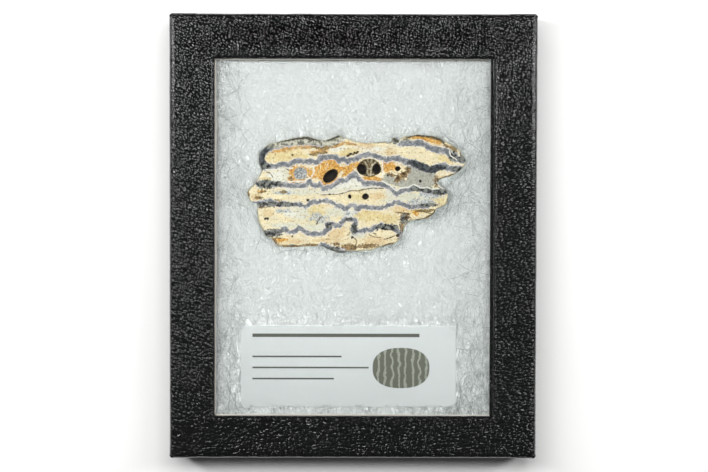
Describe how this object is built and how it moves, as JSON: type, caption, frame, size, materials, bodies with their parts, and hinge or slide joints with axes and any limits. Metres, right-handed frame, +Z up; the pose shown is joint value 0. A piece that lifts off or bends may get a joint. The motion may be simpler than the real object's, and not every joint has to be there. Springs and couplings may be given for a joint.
{
  "type": "fossil mammoth molar slice in a display case",
  "caption": "Polished cross-section of a mammoth molar on white batting in a shallow black display case with a glass lid and a blank specimen card.",
  "frame": {"origin": "middle of the case's underside, on the surface that it lies on", "axes": "+Z up through the glass; +Y along the case's long side, to the edge that is uppermost when the case is looked down on with the card at the near end; +X to the right"},
  "size_m": [0.1152, 0.1394, 0.019],
  "materials": {
    "fossil_tooth": "sawn and polished fossil tooth: cream to amber dentine and cement with blue-grey enamel bands",
    "polyester_batting": "white polyester fibre batting, matt",
    "white_card": "smooth white printed card, matt",
    "clear_glass": "clear float glass, 2 mm",
    "leatherette_lid": "board covered in black leather-grained paper, low sheen",
    "leatherette_tray": "board covered in black leather-grained paper, low sheen"
  },
  "bodies": {
    "root": {"molar_slice": "fossil_tooth", "batting": "polyester_batting", "label_card": "white_card", "glass_pane": "clear_glass", "case_lid": "leatherette_lid", "case_tray": "leatherette_tray"}
  },
  "joints": []
}
